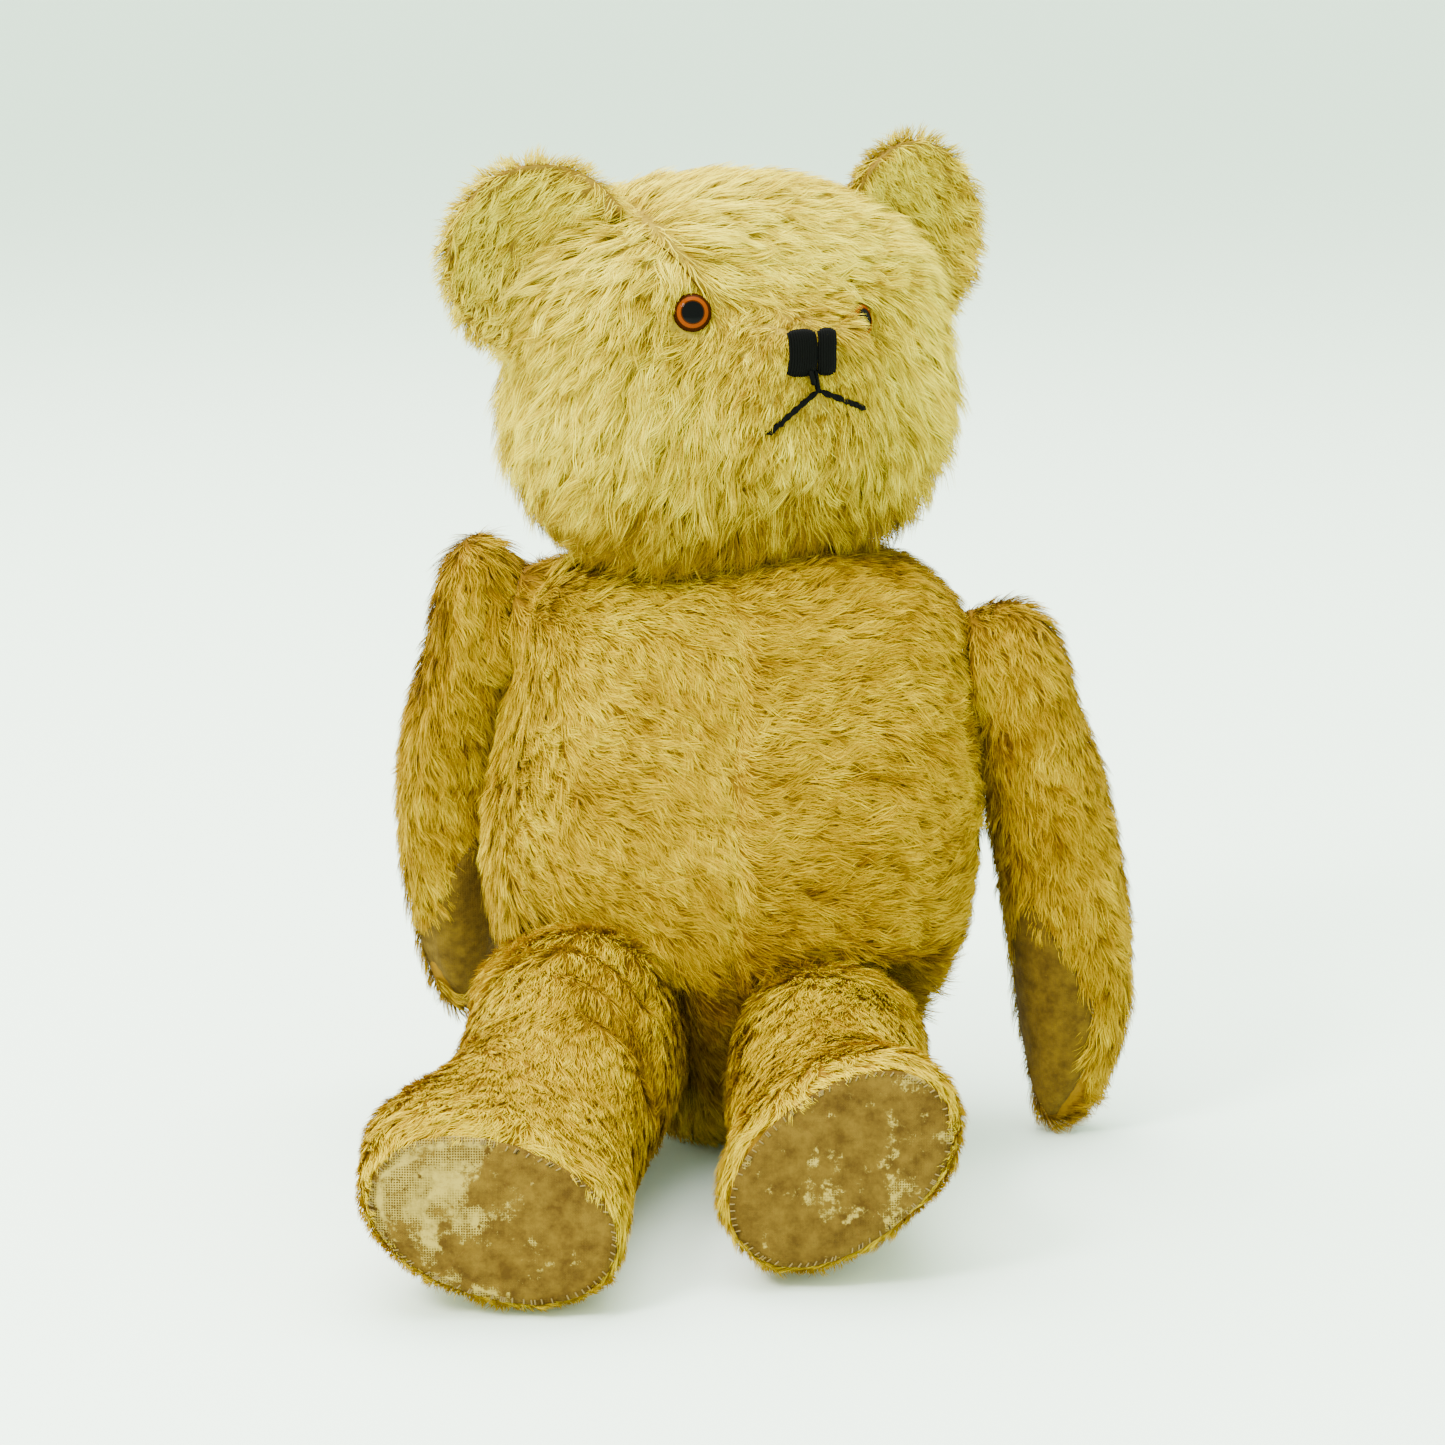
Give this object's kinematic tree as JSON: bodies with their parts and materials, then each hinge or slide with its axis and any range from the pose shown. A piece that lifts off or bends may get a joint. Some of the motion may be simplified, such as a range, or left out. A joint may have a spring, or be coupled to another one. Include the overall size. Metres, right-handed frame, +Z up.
{
  "type": "jointed teddy bear",
  "caption": "Seated jointed mohair teddy bear whose head, arms and legs turn on pinned disc joints.",
  "frame": {"origin": "on the surface that the bear sits on, straight below the middle of the neck joint", "axes": "+Z up along the neck joint, the torso faces -Y, the bear's left side is +X"},
  "size_m": [0.265, 0.2677, 0.3529],
  "materials": {
    "mohair_gold": "matte",
    "mohair_straw": "matte",
    "felt_pad": "matte",
    "wood_wool": "matte",
    "hardboard": "matte",
    "card": "matte",
    "steel": "satin",
    "amber_glass": "gloss",
    "pupil_black": "gloss",
    "thread_black": "satin",
    "thread_cream": "matte"
  },
  "bodies": {
    "torso": {"torso_cover_left": "mohair_gold", "torso_cover_right": "mohair_gold", "torso_stuffing": "wood_wool", "closing_thread": "thread_cream", "neck_disc_torso": "hardboard", "neck_washer_torso": "steel", "shoulder_left_disc_torso": "hardboard", "shoulder_left_washer_torso": "steel", "shoulder_right_disc_torso": "hardboard", "shoulder_right_washer_torso": "steel", "hip_left_disc_torso": "hardboard", "hip_left_washer_torso": "steel", "hip_right_disc_torso": "hardboard", "hip_right_washer_torso": "steel"},
    "head": {"head_side_left": "mohair_straw", "head_side_right": "mohair_straw", "head_gusset": "mohair_straw", "head_stuffing": "wood_wool", "ear_left": "mohair_straw", "ear_right": "mohair_straw", "eye_left_glass": "amber_glass", "eye_left_pupil": "pupil_black", "eye_left_shank": "steel", "eye_right_glass": "amber_glass", "eye_right_pupil": "pupil_black", "eye_right_shank": "steel", "nose_stitching": "thread_black", "mouth_stitching": "thread_black", "neck_disc_head": "hardboard", "neck_washer_head": "steel", "neck_pin": "steel"},
    "arm_left": {"arm_left_cover": "mohair_gold", "arm_left_paw_pad": "felt_pad", "arm_left_stuffing": "wood_wool", "shoulder_left_disc_arm": "hardboard", "shoulder_left_washer_arm": "steel", "shoulder_left_pin": "steel"},
    "arm_right": {"arm_right_cover": "mohair_gold", "arm_right_paw_pad": "felt_pad", "arm_right_stuffing": "wood_wool", "shoulder_right_disc_arm": "hardboard", "shoulder_right_washer_arm": "steel", "shoulder_right_pin": "steel"},
    "leg_left": {"leg_left_cover": "mohair_gold", "leg_left_foot_pad": "felt_pad", "leg_left_sole_card": "card", "leg_left_stuffing": "wood_wool", "hip_left_disc_leg": "hardboard", "hip_left_washer_leg": "steel", "hip_left_pin": "steel"},
    "leg_right": {"leg_right_cover": "mohair_gold", "leg_right_foot_pad": "felt_pad", "leg_right_sole_card": "card", "leg_right_stuffing": "wood_wool", "hip_right_disc_leg": "hardboard", "hip_right_washer_leg": "steel", "hip_right_pin": "steel"}
  },
  "joints": [
    {"name": "neck_turn", "type": "hinge", "parent": "torso", "child": "head", "pos_m": [0, 0, 0.214], "axis": [0, 0, 1], "continuous": true},
    {"name": "shoulder_left", "type": "hinge", "parent": "torso", "child": "arm_left", "pos_m": [0.082, 0, 0.17], "axis": [-1, 0, 0], "continuous": true},
    {"name": "shoulder_right", "type": "hinge", "parent": "torso", "child": "arm_right", "pos_m": [-0.074, 0.008, 0.186], "axis": [-0.9659, 0.2588, 0], "continuous": true},
    {"name": "hip_left", "type": "hinge", "parent": "torso", "child": "leg_left", "pos_m": [0.0125, -0.032, 0.0475], "axis": [0.8824, -0.3929, -0.2588], "range_deg": [-10, 90]},
    {"name": "hip_right", "type": "hinge", "parent": "torso", "child": "leg_right", "pos_m": [-0.0267, -0.0278, 0.057], "axis": [0.8824, 0.3929, 0.2588], "range_deg": [-10, 90]}
  ]
}
